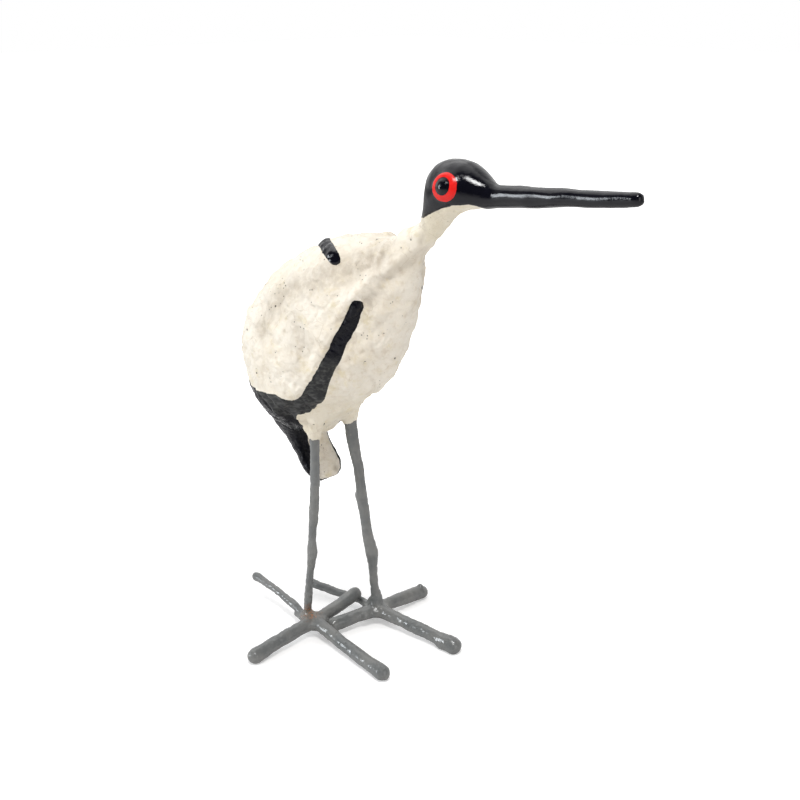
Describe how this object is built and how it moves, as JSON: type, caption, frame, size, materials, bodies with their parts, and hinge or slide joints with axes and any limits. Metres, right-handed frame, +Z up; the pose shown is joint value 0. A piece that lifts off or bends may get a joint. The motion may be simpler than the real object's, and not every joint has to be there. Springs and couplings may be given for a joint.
{
  "type": "painted wading bird figure on welded rod feet",
  "caption": "Standing wading bird with an egg-shaped body, thin neck, long straight bill and short drooping tail, on wire legs with welded rod toes.",
  "frame": {"origin": "on the floor, under the middle of the bird's overall length and width", "axes": "+X is the way the bird looks, along its bill; +Y is its left side; +Z is up"},
  "size_m": [0.1849, 0.0902, 0.2043],
  "materials": {
    "body": "hand-formed, cream paint with black and red enamel",
    "rod": "thick grey brushed-on paint over round rod",
    "weld": "thick grey paint over a lumpy weld, rusty in places"
  },
  "bodies": {
    "root": {"body": "body", "right_leg": "rod", "left_leg": "rod", "right_cross_toe": "rod", "left_cross_toe": "rod", "right_front_toe": "rod", "left_front_toe": "rod", "right_back_toe": "rod", "left_back_toe": "rod", "right_ankle_weld": "weld", "left_ankle_weld": "weld"}
  },
  "joints": []
}
